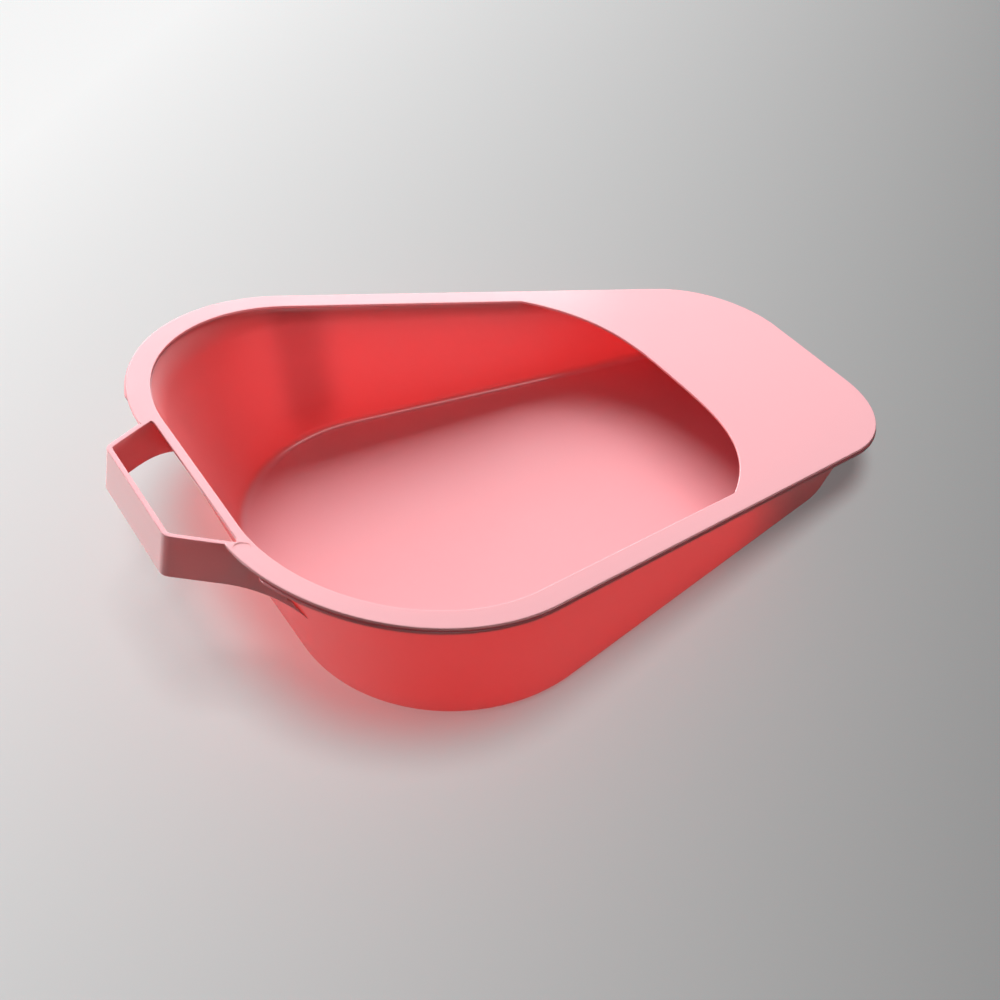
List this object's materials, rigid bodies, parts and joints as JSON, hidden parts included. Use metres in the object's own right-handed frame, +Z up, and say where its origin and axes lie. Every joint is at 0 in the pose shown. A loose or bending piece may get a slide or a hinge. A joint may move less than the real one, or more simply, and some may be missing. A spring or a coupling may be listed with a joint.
{
  "type": "bedpan",
  "caption": "Slipper bedpan in translucent pink plastic: a tapered bowl with a sloping rim, a flat seat over its low end and a loop handle at its deep end.",
  "frame": {"origin": "centre of the pan's overall footprint, on the surface it rests on", "axes": "+X from the handle at the deep end to the low seat end, +Y across the pan to the left of someone looking along +X, +Z up"},
  "size_m": [0.3704, 0.2534, 0.1023],
  "materials": {
    "basin_plastic": "translucent pink polypropylene, satin",
    "rim_plastic": "translucent pink polypropylene, satin"
  },
  "bodies": {
    "root": {"basin": "basin_plastic", "seat_frame": "rim_plastic"}
  },
  "joints": []
}
